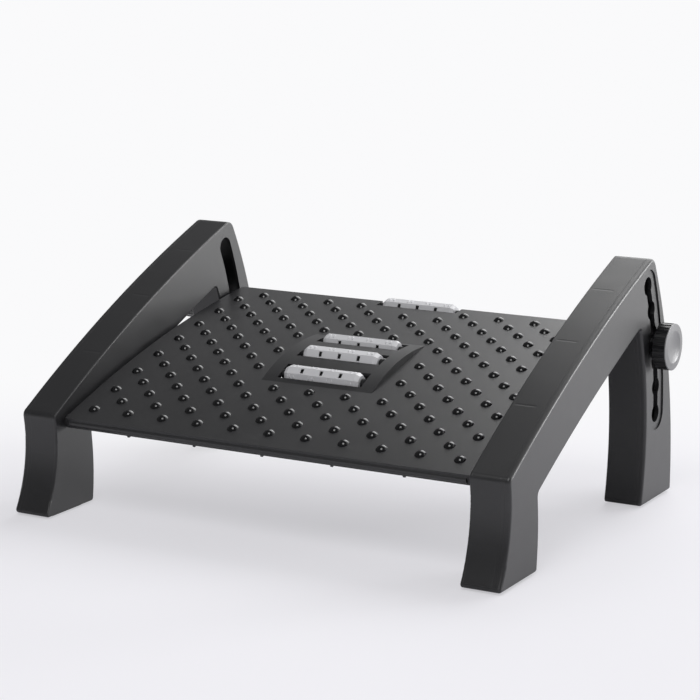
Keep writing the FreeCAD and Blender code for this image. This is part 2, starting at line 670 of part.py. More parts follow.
def massage_roller(turn):
    """An eight-sided roller along X, with tapered ends, small pockets on every other side and a bore."""
    half = ROLLER_LENGTH / 2
    rings = [
        (-half, ROLLER_RADIUS - ROLLER_END_DROP), (-half + ROLLER_END_LENGTH, ROLLER_RADIUS),
        (half - ROLLER_END_LENGTH, ROLLER_RADIUS), (half, ROLLER_RADIUS - ROLLER_END_DROP),
    ]
    wires = []
    for x, radius in rings:
        points = []
        for side in range(ROLLER_SIDES + 1):
            angle = math.radians(360 / ROLLER_SIDES * side)
            points.append(Vector(x, radius * math.cos(angle), radius * math.sin(angle)))
        wires.append(Part.makePolygon(points))
    body = Part.makeLoft(wires, True, True)
    flat = ROLLER_RADIUS * math.cos(math.pi / ROLLER_SIDES)
    cuts = [rod(AXLE_RADIUS + AXLE_CLEARANCE, -half, half, Vector())]
    for side in range(0, ROLLER_SIDES, 2):
        for pocket in range(ROLLER_POCKETS):
            x = (pocket - (ROLLER_POCKETS - 1) / 2) * ROLLER_POCKET_PITCH
            cutter = block(
                x - ROLLER_POCKET_LENGTH / 2, x + ROLLER_POCKET_LENGTH / 2,
                -ROLLER_POCKET_WIDTH / 2, ROLLER_POCKET_WIDTH / 2, flat - ROLLER_POCKET_DEPTH, ROLLER_RADIUS,
            )
            cutter.rotate(Vector(0, 0, 0), Vector(1, 0, 0), 360 / ROLLER_SIDES * (side + 0.5))
            cuts.append(cutter)
    roller = body.cut(Part.makeCompound(cuts))
    roller.rotate(Vector(0, 0, 0), Vector(1, 0, 0), turn)
    return roller


def cradle(span, seats):
    """A frame under the plate whose upright tabs hold the roller axles."""
    start, end = span
    low = -CRADLE_DROP - CRADLE_THICKNESS
    base = plate_band(start, end, low, -CRADLE_DROP, -CRADLE_HALF_WIDTH, CRADLE_HALF_WIDTH)
    parts, cuts = [base], []
    for place, rise in seats:
        foot = low + CRADLE_THICKNESS / 2 - rise
        upright = block(TAB_INNER, TAB_OUTER, -TAB_RADIUS, TAB_RADIUS, foot, 0)
        tab = on_plate(upright.fuse(rod(TAB_RADIUS, TAB_INNER, TAB_OUTER, Vector())), place, rise)
        parts += [tab, mirrored(tab)]
        cuts.append(on_plate(rod(AXLE_RADIUS + AXLE_CLEARANCE, -TAB_OUTER, TAB_OUTER, Vector()), place, rise))
        across, along = TAB_INNER - CRADLE_WINDOW_MARGIN, CRADLE_WINDOW_HALF_WIDTH
        window = block(-across, across, -along, along, low - CUT_THROUGH, -CRADLE_DROP + CUT_THROUGH)
        cuts.append(on_plate(window, place))
    for place, x in screw_spots(span):
        depth = CRADLE_THICKNESS + 2 * CUT_THROUGH
        hole = Part.makeCylinder(SCREW_RADIUS + RUNNING_CLEARANCE, depth, Vector(0, 0, low - CUT_THROUGH))
        cuts.append(on_plate(hole, place, 0, x))
    return fused(parts).cut(Part.makeCompound(cuts))


def cradle_screws():
    screws = []
    seat = -CRADLE_DROP - CRADLE_THICKNESS
    for span in cradle_spans().values():
        for place, x in screw_spots(span):
            head_base = Vector(0, 0, seat - SCREW_HEAD_THICKNESS)
            head = Part.makeCylinder(SCREW_HEAD_RADIUS, SCREW_HEAD_THICKNESS, head_base)
            shank = Part.makeCylinder(SCREW_RADIUS, SCREW_LENGTH, Vector(0, 0, seat))
            screws.append(on_plate(head.fuse(shank), place, 0, x))
    return Part.makeCompound(screws)


# Pivot bolts and clamping knobs

def pivot_bolt():
    """A bolt from inside the leg, through its seat, into the plate's hinge boss."""
    seat = LEG_INNER + PIVOT_SEAT_LENGTH + RUNNING_CLEARANCE
    shank = rod(PIVOT_RADIUS, PLATE_HALF_WIDTH - PIVOT_GRIP_LENGTH + PIVOT_TIP_CLEARANCE, seat, hinge_point())
    head = rod(PIVOT_HEAD_RADIUS, seat, seat + PIVOT_HEAD_THICKNESS, hinge_point())
    key_end = seat + PIVOT_HEAD_THICKNESS
    return shank.fuse(head).cut(hexagon(HEX_KEY_WIDTH, key_end - HEX_KEY_DEPTH, key_end, hinge_point()))


def guide_nut():
    root = PLATE_HALF_WIDTH - GUIDE_ROOT_LENGTH
    nut = hexagon(NUT_WIDTH, root, root + NUT_THICKNESS, guide_centre())
    return nut.cut(rod(STUD_RADIUS + RUNNING_CLEARANCE, root, root + NUT_THICKNESS, guide_centre()))


def knob_collar():
    """The flanged washer that presses on the floor of the cover's recess."""
    start = RECESS_FLOOR + COLLAR_CLEARANCE
    ring = rod(COLLAR_RADIUS, start, start + COLLAR_THICKNESS, guide_centre())
    return ring.cut(rod(STUD_RADIUS + STUD_CLEARANCE, start, start + COLLAR_THICKNESS, guide_centre()))


def knob_planes():
    """Where the knob's hub, grip, cap rim and cap crown start along X."""
    hub = RECESS_FLOOR + 2 * COLLAR_CLEARANCE + COLLAR_THICKNESS
    grip = hub + HUB_LENGTH
    rim = grip + KNOB_GRIP_LENGTH
    return hub, grip, rim, rim + CAP_RIM_THICKNESS


def knob_grip():
    """The fluted black body of the knob, with a hub behind it and a socket for the cap."""
    hub, grip, rim, _ = knob_planes()
    centre = guide_centre()
    body = fused([rod(HUB_RADIUS, hub, rim, centre), rod(KNOB_RADIUS, grip, rim, centre)])
    cuts = []
    for flute in range(KNOB_FLUTES):
        turn = 2 * math.pi * flute / KNOB_FLUTES
        reach = KNOB_RADIUS + FLUTE_RADIUS - FLUTE_DEPTH
        place = centre + Vector(0, reach * math.cos(turn), reach * math.sin(turn))
        cuts.append(rod(FLUTE_RADIUS, grip, rim, place))
    cuts.append(rod(CAP_SPIGOT_RADIUS + CAP_FIT, rim - CAP_SPIGOT_LENGTH - CAP_FIT, rim, centre))
    cuts.append(rod(STUD_RADIUS, hub, grip + STUD_GRIP_LENGTH, centre))
    return body.cut(Part.makeCompound(cuts))


def knob_cap():
    """The pale cap: a rim, a bevel and a shallow dish, on a spigot that fits in the grip."""
    _, _, rim, crown = knob_planes()
    centre = guide_centre()
    top = crown + CAP_BEVEL_HEIGHT
    spigot = rod(CAP_SPIGOT_RADIUS, rim - CAP_SPIGOT_LENGTH, rim + CAP_RIM_THICKNESS / 2, centre)
    disc = rod(KNOB_RADIUS, rim, crown, centre)
    bevel = Part.makeCone(
        KNOB_RADIUS, CAP_DISH_RADIUS, CAP_BEVEL_HEIGHT, Vector(crown, centre.y, centre.z), Vector(1, 0, 0)
    )
    solid = fused([spigot, disc, bevel])
    rim_edges = []
    for edge in solid.Edges:
        if max(abs(edge.BoundBox.XMin - crown), edge.BoundBox.XLength) < TOUCHING:
            rim_edges.append(edge)
    solid = solid.makeFillet(CAP_RIM_THICKNESS / 2, rim_edges)
    dish_radius = dome_radius(CAP_DISH_RADIUS - CAP_LAND_WIDTH, CAP_DISH_DEPTH)
    return solid.cut(Part.makeSphere(dish_radius, Vector(top - CAP_DISH_DEPTH + dish_radius, centre.y, centre.z)))


def knob_stud():
    """The threaded stud that is fixed in the grip and screws into the captive nut."""
    _, grip, _, _ = knob_planes()
    return rod(STUD_RADIUS, PLATE_HALF_WIDTH - GUIDE_ROOT_LENGTH, grip + STUD_GRIP_LENGTH, guide_centre())


def both_sides(name, shape):
    return {"right_" + name: shape, "left_" + name: mirrored(shape)}


def build():
    nodes = {}
    body = leg_body()
    nodes.update(both_sides("leg_shell", leg_shell(body)))
    nodes.update(both_sides("leg_cover", leg_cover(body)))
    for end, place in pad_places().items():
        nodes.update(both_sides(end + "_foot_pad", pad_block(place, 0, 0, PAD_THICKNESS)))
    nodes["footplate"] = footplate()
    nodes["massage_nubs"] = massage_nubs()
    seats = roller_seats()
    spans = cradle_spans()
    nodes["pod_roller_cradle"] = cradle(spans["pod"], seats[:3])
    nodes["rear_roller_cradle"] = cradle(spans["rear"], seats[3:])
    nodes["cradle_screws"] = cradle_screws()
    names = ("front", "middle", "back", "edge")
    for name, (place, rise), turn in zip(names, seats, ROLLER_TURNS):
        nodes[name + "_roller"] = on_plate(massage_roller(turn), place, rise)
        nodes[name + "_roller_axle"] = on_plate(rod(AXLE_RADIUS, -TAB_OUTER, TAB_OUTER, Vector()), place, rise)
    nodes.update(both_sides("pivot_bolt", pivot_bolt()))
    nodes.update(both_sides("guide_nut", guide_nut()))
    nodes.update(both_sides("knob_collar", knob_collar()))
    nodes.update(both_sides("knob_grip", knob_grip()))
    nodes.update(both_sides("knob_cap", knob_cap()))
    nodes.update(both_sides("knob_stud", knob_stud()))
    return nodes


def main():
    os.makedirs("parts", exist_ok=True)
    for name, shape in build().items():
        shape.exportStep(os.path.join("parts", name + ".step"))
        print(name, len(shape.Solids), "solids,", round(shape.Volume / 1000, 2), "cm3, valid", shape.isValid())


main()
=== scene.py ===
"""Looks of a tilting footrest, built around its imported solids. Lengths are in metres."""

import logging
import math
from dataclasses import dataclass, field
from enum import Enum

import bmesh
import bpy
import numpy as np
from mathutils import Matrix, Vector


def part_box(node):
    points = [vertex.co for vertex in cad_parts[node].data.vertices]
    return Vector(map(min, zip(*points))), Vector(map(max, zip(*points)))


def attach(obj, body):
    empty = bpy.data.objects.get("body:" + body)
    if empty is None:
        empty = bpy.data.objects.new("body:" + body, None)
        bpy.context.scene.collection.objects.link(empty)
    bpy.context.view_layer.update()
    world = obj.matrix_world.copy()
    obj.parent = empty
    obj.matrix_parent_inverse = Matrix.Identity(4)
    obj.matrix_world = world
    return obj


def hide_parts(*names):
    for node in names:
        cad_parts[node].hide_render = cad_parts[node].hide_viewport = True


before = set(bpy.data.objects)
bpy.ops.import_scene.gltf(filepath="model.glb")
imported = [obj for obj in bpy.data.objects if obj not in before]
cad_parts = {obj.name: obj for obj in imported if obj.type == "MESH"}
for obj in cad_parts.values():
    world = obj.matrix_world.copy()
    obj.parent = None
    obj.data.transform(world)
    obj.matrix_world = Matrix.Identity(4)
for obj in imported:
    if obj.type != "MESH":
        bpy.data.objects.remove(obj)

LOG = logging.getLogger("footrest")
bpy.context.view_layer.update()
Colour = tuple[float, float, float]
Place = tuple[float, float, float]
Limits = tuple[float, float]

SHARP_ANGLE = math.radians(35)
MERGE_DISTANCE = 1e-7
GRAIN_SCALE = 2600.0
CLOUD_SCALE = 22.0
STREAK_SCALE = 40.0
STREAK_STRETCH = (0.35, 1.0, 1.4)
STREAK_TURN = (0.2, 0.1, 0.5)
STREAK_LIMITS = (0.55, 0.78)


class Side(Enum):
    """The two ends of the footrest's width, by the sign of X."""

    LEFT = -1
    RIGHT = 1

    @property
    def word(self) -> str:
        """The side's name in the names of nodes."""
        return self.name.lower()


class Graph:
    """A short hand for adding nodes to a material, a world or a node group."""

    def __init__(self, tree: bpy.types.NodeTree) -> None:
        """Keeps the tree.

        Args:
            tree: The node tree to build in.
        """
        self.tree = tree

    def add(self, kind: str, settings: dict | None = None, **inputs: object) -> bpy.types.Node:
        """Adds a node and fills in its inputs.

        Args:
            kind: The node's type without the words ShaderNode.
            settings: The node's own settings by name.
            inputs: Values or output sockets by input name, with _ for a space, or in0, in1 by place.

        Returns:
            The new node.
        """
        node = self.tree.nodes.new("ShaderNode" + kind)
        for name, value in (settings or {}).items():
            setattr(node, name, value)
        for name, value in inputs.items():
            key = int(name[2:]) if name[:2] == "in" and name[2:].isdigit() else name.replace("_", " ")
            socket = node.inputs[key]
            if isinstance(value, bpy.types.NodeSocket):
                self.tree.links.new(value, socket)
            elif isinstance(value, tuple) and len(value) == 3 and socket.type == "RGBA":
                socket.default_value = (*value, 1.0)
            else:
                socket.default_value = value
        return node

    def math(self, operation: str, *values: object, clamp: bool = False) -> bpy.types.NodeSocket:
        """Adds a Math node.

        Args:
            operation: The Math node's operation.
            values: Its numbers or sockets, in order.
            clamp: Whether the result is kept between 0 and 1.

        Returns:
            The node's output socket.
        """
        inputs = {f"in{place}": value for place, value in enumerate(values)}
        return self.add("Math", {"operation": operation, "use_clamp": clamp}, **inputs).outputs[0]

    def band(self, value: object, centre: float, half_width: float, soft: float) -> bpy.types.NodeSocket:
        """A soft mask that is 1 within half_width of a centre and falls to 0 over the soft width.

        Args:
            value: The socket that is tested.
            centre: The middle of the band.
            half_width: How far the band reaches each way.
            soft: The width over which it fades.

        Returns:
            The mask's socket.
        """
        distance = self.math("ABSOLUTE", self.math("SUBTRACT", value, centre))
        return self.ramp(distance, half_width + soft, half_width)

    def ramp(self, value: object, zero_at: float, one_at: float) -> bpy.types.NodeSocket:
        """A clamped smooth step from 0 to 1 between two values.

        Args:
            value: The socket that is tested.
            zero_at: Where the result is 0.
            one_at: Where the result is 1.

        Returns:
            The result's socket.
        """
        settings = {"interpolation_type": "SMOOTHSTEP", "clamp": True}
        node = self.add("MapRange", settings, Value=value, From_Min=zero_at, From_Max=one_at)
        return node.outputs["Result"]


def new_group(
    name: str, inputs: dict[str, float], outputs: tuple[str, ...]
) -> tuple[bpy.types.NodeTree, Graph, bpy.types.Node, bpy.types.Node]:
    """Starts a shader node group with float sockets.

    Args:
        name: The group's name.
        inputs: Each input's name and default.
        outputs: The outputs' names.

    Returns:
        The group, its graph, its input node and its output node.
    """
    tree = bpy.data.node_groups.new(name, "ShaderNodeTree")
    for socket, default in inputs.items():
        made = tree.interface.new_socket(socket, in_out="INPUT", socket_type="NodeSocketFloat")
        made.default_value = default
    for socket in outputs:
        tree.interface.new_socket(socket, in_out="OUTPUT", socket_type="NodeSocketFloat")
    return tree, Graph(tree), tree.nodes.new("NodeGroupInput"), tree.nodes.new("NodeGroupOutput")


def moulded_grain_group() -> bpy.types.NodeTree:
    """Fine spark-eroded texture of a moulded surface: a height, and a tone that varies in soft clouds.

    Returns:
        The shader node group.
    """
    tree, graph, given, made = new_group(
        "moulded grain", {"Grain Scale": GRAIN_SCALE, "Cloud Scale": CLOUD_SCALE}, ("Height", "Tone"))
    place = graph.add("TexCoord").outputs["Object"]
    grain = graph.add(
        "TexNoise", Vector=place, Scale=given.outputs["Grain Scale"], Detail=2.0, Roughness=0.6)
    cloud = graph.add(
        "TexNoise", Vector=place, Scale=given.outputs["Cloud Scale"], Detail=4.0, Roughness=0.55)
    tree.links.new(grain.outputs["Fac"], made.inputs["Height"])
    tree.links.new(cloud.outputs["Fac"], made.inputs["Tone"])
    return tree


def handling_marks_group() -> bpy.types.NodeTree:
    """Sparse rubbed streaks and dust, as a mask.

    Returns:
        The shader node group.
    """
    tree, graph, given, made = new_group(
        "handling marks", {"Streak Scale": STREAK_SCALE, "Amount": 0.5}, ("Mask",))
    place = graph.add("TexCoord").outputs["Object"]
    stretched = graph.add("Mapping", None, Vector=place, Scale=STREAK_STRETCH, Rotation=STREAK_TURN)
    streak = graph.add(
        "TexNoise", Vector=stretched.outputs[0], Scale=given.outputs["Streak Scale"], Detail=6.0,
        Roughness=0.7, Distortion=0.6)
    sparse = graph.ramp(streak.outputs["Fac"], *STREAK_LIMITS)
    mask = graph.math("MULTIPLY", sparse, given.outputs["Amount"], clamp=True)
    tree.links.new(mask, made.inputs["Mask"])
    return tree


GRAIN = moulded_grain_group()
MARKS = handling_marks_group()


@dataclass(frozen=True)
class MouldedPlastic:
    """A moulded plastic: its colour, gloss, grain and the marks of handling."""

    name: str
    colour: Colour
    mark_colour: Colour
    roughness: float
    roughness_spread: float = 0.08
    grain_scale: float = GRAIN_SCALE
    grain_depth: float = 0.00002
    mark_amount: float = 0.3
    mark_roughness: float = 0.15
    ior: float = 1.5

    def relief(self, graph: Graph) -> bpy.types.NodeSocket | None:
        """The heights, in metres, of the forms that a finish adds to the grain, none by itself."""
        return None

    def tint(self, graph: Graph, colour: bpy.types.NodeSocket) -> bpy.types.NodeSocket:
        """The colour after what a finish adds to it."""
        return colour

    def material(self) -> bpy.types.Material:
        """Builds the material.

        Returns:
            A material whose colour, roughness and bump vary over the surface.
        """
        made = bpy.data.materials.new(self.name)
        made.use_nodes = True
        graph = Graph(made.node_tree)
        shader = made.node_tree.nodes["Principled BSDF"]
        shader.inputs["IOR"].default_value = self.ior
        grain = graph.add("Group", {"node_tree": GRAIN}, Grain_Scale=self.grain_scale)
        marks = graph.add("Group", {"node_tree": MARKS}, Amount=self.mark_amount)
        mix = graph.add(
            "Mix", {"data_type": "RGBA"}, in0=marks.outputs["Mask"], in6=self.colour, in7=self.mark_colour)
        made.node_tree.links.new(self.tint(graph, mix.outputs[2]), shader.inputs["Base Color"])
        lowest = self.roughness - self.roughness_spread
        spread = graph.math("MULTIPLY_ADD", grain.outputs["Tone"], 2 * self.roughness_spread, lowest)
        rough = graph.math("MULTIPLY_ADD", marks.outputs["Mask"], self.mark_roughness, spread, clamp=True)
        made.node_tree.links.new(rough, shader.inputs["Roughness"])
        height = graph.math("MULTIPLY", grain.outputs["Height"], self.grain_depth)
        relief = self.relief(graph)
        if relief is not None:
            height = graph.math("ADD", height, relief)
        bump = graph.add("Bump", None, Height=height, Strength=1.0, Distance=1.0)
        made.node_tree.links.new(bump.outputs[0], shader.inputs["Normal"])
        return made


@dataclass(frozen=True)
class LegPlastic(MouldedPlastic):
    """The legs' plastic: sink marks on the beam, the seam of the two halves, the framed front face."""

    parting_line: float = 0.225
    seam_half_width: float = 0.00012
    seam_soft: float = 0.0002
    seam_depth: float = 0.00012
    sink_setbacks: tuple[float, ...] = (-0.086, -0.009, 0.063)
    sink_centre: float = 0.208
    sink_half_length: float = 0.0075
    sink_end_soft: float = 0.003
    sink_half_width: float = 0.0002
    sink_soft: float = 0.0012
    sink_depth: float = 0.00010
    upward: Limits = (0.3, 0.6)
    frame_lines: tuple[float, ...] = (0.1983, 0.2222)
    frame_foot: float = 0.0062
    frame_half_width: float = 0.0001
    frame_soft: float = 0.0005
    frame_depth: float = 0.00007
    forward: Limits = (-0.5, -0.8)

    def relief(self, graph: Graph) -> bpy.types.NodeSocket:
        """Grooves at the seam and round the front face, and shallow sinks over the ribs in the beam.

        Args:
            graph: The material's graph.

        Returns:
            The socket of the height in metres.
        """
        place = graph.add("SeparateXYZ", None, Vector=graph.add("TexCoord").outputs["Object"])
        normal = graph.add("SeparateXYZ", None, Vector=graph.add("NewGeometry").outputs["Normal"])
        across = graph.math("ABSOLUTE", place.outputs["X"])
        seam = graph.band(across, self.parting_line, self.seam_half_width, self.seam_soft)
        upward = graph.ramp(normal.outputs["Z"], *self.upward)
        along = graph.band(across, self.sink_centre, self.sink_half_length, self.sink_end_soft)
        sinks = None
        for setback in self.sink_setbacks:
            sink = graph.band(place.outputs["Y"], setback, self.sink_half_width, self.sink_soft)
            sinks = sink if sinks is None else graph.math("MAXIMUM", sinks, sink)
        sinks = graph.math("MULTIPLY", graph.math("MULTIPLY", sinks, along), upward)
        forward = graph.ramp(normal.outputs["Y"], *self.forward)
        borders = graph.band(place.outputs["Z"], self.frame_foot, self.frame_half_width, self.frame_soft)
        for line in self.frame_lines:
            border = graph.band(across, line, self.frame_half_width, self.frame_soft)
            borders = graph.math("MAXIMUM", borders, border)
        borders = graph.math("MULTIPLY", borders, forward)
        total = graph.math("MULTIPLY", seam, -self.seam_depth)
        total = graph.math("MULTIPLY_ADD", sinks, -self.sink_depth, total)
        return graph.math("MULTIPLY_ADD", borders, -self.frame_depth, total)


@dataclass(frozen=True)
class RollerPlastic(MouldedPlastic):
    """A roller's pale plastic, with painted black shade in the small pockets."""

    axis_y: float = 0.0
    axis_z: float = 0.0
    pocket_radius: float = 0.0073
    pocket_soft: float = 0.0003
    pocket_reach: float = 0.0215
    pocket_end_soft: float = 0.002
    # The painted shade colour of the pockets' insides.
    pocket_shade_colour: Colour = (0.004, 0.004, 0.005)

    def tint(self, graph: Graph, colour: bpy.types.NodeSocket) -> bpy.types.NodeSocket:
        """Paints shade: blackens what lies nearer to the roller's axis than the pockets' mouths, between the
        ends.

        Args:
            graph: The material's graph.
            colour: The plastic's own colour.

        Returns:
            The socket of the colour with painted black shade in the pockets.
        """
        place = graph.add("SeparateXYZ", None, Vector=graph.add("TexCoord").outputs["Object"])
        across = graph.math("SUBTRACT", place.outputs["Y"], self.axis_y)
        rise = graph.math("SUBTRACT", place.outputs["Z"], self.axis_z)
        squares = graph.math("ADD", graph.math("POWER", across, 2.0), graph.math("POWER", rise, 2.0))
        radius = graph.math("SQRT", squares)
        # Painted shade: the pale pocket walls are coloured near black where they would lie in deep shade.
        in_pocket_shade = graph.ramp(radius, self.pocket_radius + self.pocket_soft, self.pocket_radius)
        from_middle = graph.math("ABSOLUTE", place.outputs["X"])
        reached = graph.ramp(from_middle, self.pocket_reach + self.pocket_end_soft, self.pocket_reach)
        mask = graph.math("MULTIPLY", in_pocket_shade, reached)
        mix = graph.add("Mix", {"data_type": "RGBA"}, in0=mask, in6=colour, in7=self.pocket_shade_colour)
        return mix.outputs[2]


@dataclass(frozen=True)
class PadRubber(MouldedPlastic):
    """The foot pads' rubber, with tread grooves across it."""

    groove_pitch: float = 0.0035
    groove_depth: float = 0.0004
    groove_wall: Limits = (0.0007, 0.0003)

    def relief(self, graph: Graph) -> bpy.types.NodeSocket:
        """Grooves across the pad: the height falls where the place along it, modulo the pitch, is small.

        Args:
            graph: The material's graph.

        Returns:
            The socket of the height in metres.
        """
        place = graph.add("SeparateXYZ", None, Vector=graph.add("TexCoord").outputs["Object"])
        phase = graph.math("PINGPONG", place.outputs["Y"], self.groove_pitch / 2)
        return graph.math("MULTIPLY", graph.ramp(phase, *self.groove_wall), -self.groove_depth)


@dataclass(frozen=True)
class Steel:
    """Drawn and plated steel with faint turning lines."""

    name: str
    colour: Colour = (0.45, 0.46, 0.48)
    shade: float = 0.7
    roughness: float = 0.28
    roughness_spread: float = 0.1
    turning: Place = (6000.0, 120.0, 120.0)
    cloud_scale: float = 90.0
    line_strength: float = 0.1
    line_depth: float = 0.0001

    def material(self) -> bpy.types.Material:
        """Builds the material.

        Returns:
            A metal whose roughness and bump vary along the pin.
        """
        made = bpy.data.materials.new(self.name)
        made.use_nodes = True
        graph = Graph(made.node_tree)
        shader = made.node_tree.nodes["Principled BSDF"]
        shader.inputs["Metallic"].default_value = 1.0
        place = graph.add("TexCoord").outputs["Object"]
        lines = graph.add("Mapping", None, Vector=place, Scale=self.turning)
        turned = graph.add("TexNoise", None, Vector=lines.outputs[0], Scale=1.0, Detail=2.0)
        grain = graph.add("Group", {"node_tree": GRAIN}, Cloud_Scale=self.cloud_scale)
        dark = tuple(self.shade * part for part in self.colour)
        mix = graph.add("Mix", {"data_type": "RGBA"}, in0=grain.outputs["Tone"], in6=dark, in7=self.colour)
        made.node_tree.links.new(mix.outputs[2], shader.inputs["Base Color"])
        spread = self.roughness_spread
        rough = graph.math(
            "MULTIPLY_ADD", turned.outputs["Fac"], 2 * spread, self.roughness - spread, clamp=True)
        made.node_tree.links.new(rough, shader.inputs["Roughness"])
        bump = graph.add(
            "Bump", None, Height=turned.outputs["Fac"], Strength=self.line_strength, Distance=self.line_depth)
        made.node_tree.links.new(bump.outputs[0], shader.inputs["Normal"])
        return made


@dataclass(frozen=True)
class Finishes:
    """Every finish of the object, built once."""

    leg: bpy.types.Material = field(default_factory=lambda: LegPlastic(
        "charcoal leg plastic", colour=(0.014, 0.014, 0.0155), mark_colour=(0.036, 0.036, 0.039),
        roughness=0.40, ior=1.62).material())
    plate: bpy.types.Material = field(default_factory=lambda: MouldedPlastic(
        "charcoal plate plastic", colour=(0.016, 0.016, 0.0175), mark_colour=(0.038, 0.038, 0.041),
        roughness=0.38, grain_depth=0.00003, ior=1.6).material())
    nub: bpy.types.Material = field(default_factory=lambda: MouldedPlastic(
        "glossy black nubs", colour=(0.005, 0.005, 0.006), mark_colour=(0.015, 0.015, 0.016),
        roughness=0.14, roughness_spread=0.04, grain_scale=900.0, grain_depth=0.000004,
        mark_amount=0.15).material())
    cradle: bpy.types.Material = field(default_factory=lambda: MouldedPlastic(
        "black cradle plastic", colour=(0.008, 0.008, 0.009), mark_colour=(0.03, 0.03, 0.03),
        roughness=0.38).material())
    knob: bpy.types.Material = field(default_factory=lambda: MouldedPlastic(
        "black knob plastic", colour=(0.004, 0.004, 0.005), mark_colour=(0.02, 0.02, 0.021),
        roughness=0.26).material())
    cap: bpy.types.Material = field(default_factory=lambda: MouldedPlastic(
        "silver grey cap plastic", colour=(0.18, 0.18, 0.186), mark_colour=(0.30, 0.30, 0.31),
        roughness=0.33).material())
    rubber: bpy.types.Material = field(default_factory=lambda: PadRubber(
        "black foot rubber", colour=(0.012, 0.012, 0.012), mark_colour=(0.05, 0.05, 0.05),
        roughness=0.8, roughness_spread=0.1, grain_scale=1800.0, grain_depth=0.00004).material())
    steel: bpy.types.Material = field(default_factory=lambda: Steel("plated steel").material())


def dress(node: str, material: bpy.types.Material) -> None:
    """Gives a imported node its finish.

    Args:
        node: The node's name.
        material: Its finish.
    """
    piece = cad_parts[node]
    piece.data.materials.clear()
    piece.data.materials.append(material)


def grids_piece(name: str, grids: np.ndarray, material: bpy.types.Material) -> bpy.types.Object:
    """Makes one piece from many grids of points, each closed round its columns and filled in at both ends.

    Args:
        name: The piece's name.
        grids: An array of any number of leading axes, then rows, columns and three.
        material: The piece's finish.

    Returns:
        The new object.
    """
    rows, columns = grids.shape[-3:-1]
    grids = grids.reshape(-1, rows, columns, 3)
    row, column = np.meshgrid(np.arange(rows - 1), np.arange(columns), indexing="ij")
    following = (column + 1) % columns
    quads = np.stack([row * columns + column, row * columns + following,
                      (row + 1) * columns + following, (row + 1) * columns + column], axis=-1)
    starts = np.arange(len(grids)) * rows * columns
    faces = (quads.reshape(1, -1, 4) + starts[:, None, None]).reshape(-1, 4).tolist()
    tips = starts[:, None] + (rows - 1) * columns + np.arange(columns)[None]
    floors = starts[:, None] + np.arange(columns)[None, ::-1]
    return mesh_piece(name, grids.reshape(-1, 3), faces + tips.tolist() + floors.tolist(), material)


def surface_piece(name: str, rings: np.ndarray, material: bpy.types.Material) -> bpy.types.Object:
    """Makes a piece from rings of points, each joined to the next, with the first and last filled in.

    Args:
        name: The piece's name.
        rings: An array of rings by points by three.
        material: The piece's finish.

    Returns:
        The new object, with its faces pointing outwards.
    """
    count, around = rings.shape[:2]
    row, column = np.meshgrid(np.arange(count - 1), np.arange(around), indexing="ij")
    following = (column + 1) % around
    quads = np.stack([row * around + column, row * around + following,
                      (row + 1) * around + following, (row + 1) * around + column], axis=-1)
    first = list(range(around))[::-1]
    last = list(range((count - 1) * around, count * around))
    return mesh_piece(name, rings.reshape(-1, 3), quads.reshape(-1, 4).tolist() + [first, last], material)


def mesh_piece(name: str, points: np.ndarray, faces: list, material: bpy.types.Material) -> bpy.types.Object:
    """Makes a smooth shaded piece and turns its faces outwards.

    Args:
        name: The piece's name.
        points: Its points.
        faces: Its faces as lists of point numbers.
        material: Its finish.

    Returns:
        The new object at the origin.
    """
    mesh = bpy.data.meshes.new(name)
    mesh.from_pydata(points.tolist(), [], faces)
    mesh.update()
    recalculate(mesh)
    mesh.shade_smooth()
    mesh.set_sharp_from_angle(angle=SHARP_ANGLE)
    mesh.materials.append(material)
    piece = bpy.data.objects.new(name, mesh)
    bpy.context.scene.collection.objects.link(piece)
    return piece


def recalculate(mesh: bpy.types.Mesh) -> None:
    """Turns a mesh's faces outwards after its doubles are merged.

    Args:
        mesh: The mesh to change.
    """
    work = bmesh.new()
    work.from_mesh(mesh)
    bmesh.ops.remove_doubles(work, verts=work.verts, dist=MERGE_DISTANCE)
    bmesh.ops.recalc_face_normals(work, faces=work.faces)
    work.to_mesh(mesh)
    work.free()


def settle(piece: bpy.types.Object, body: str, slot: str, *replaced: str) -> None:
    """Rides a new piece on its body and hides the nodes that it replaces.

    Args:
        piece: The new piece.
        body: The body that carries it.
        slot: The record's material slot; not used.
        replaced: The nodes that it replaces.
    """
    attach(piece, body)
    if replaced:
        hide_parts(*replaced)
    LOG.info("%s rides on %s with %d faces", piece.name, body, len(piece.data.polygons))


@dataclass
class Stand:
    """The two side legs with their covers and rubber pads."""

    finishes: Finishes

    def build(self) -> None:
        """Dresses the legs' nodes."""
        for side in Side:
            for half in ("shell", "cover"):
                dress(f"{side.word}_leg_{half}", self.finishes.leg)
            for end in ("front", "rear"):
                dress(f"{side.word}_{end}_foot_pad", self.finishes.rubber)
            dress(f"{side.word}_pivot_bolt", self.finishes.steel)
            LOG.info("%s leg dressed", side.word)


@dataclass
class Platform:
    """The footplate with its nubs, its two cradles, their screws and the captive nuts."""

    finishes: Finishes

    def build(self) -> None:
        """Dresses the platform's nodes."""
        dress("footplate", self.finishes.plate)
        dress("massage_nubs", self.finishes.nub)
        for cradle in ("pod", "rear"):
            dress(f"{cradle}_roller_cradle", self.finishes.cradle)
        dress("cradle_screws", self.finishes.steel)
        for side in Side:
            dress(f"{side.word}_guide_nut", self.finishes.steel)
        LOG.info("platform dressed")


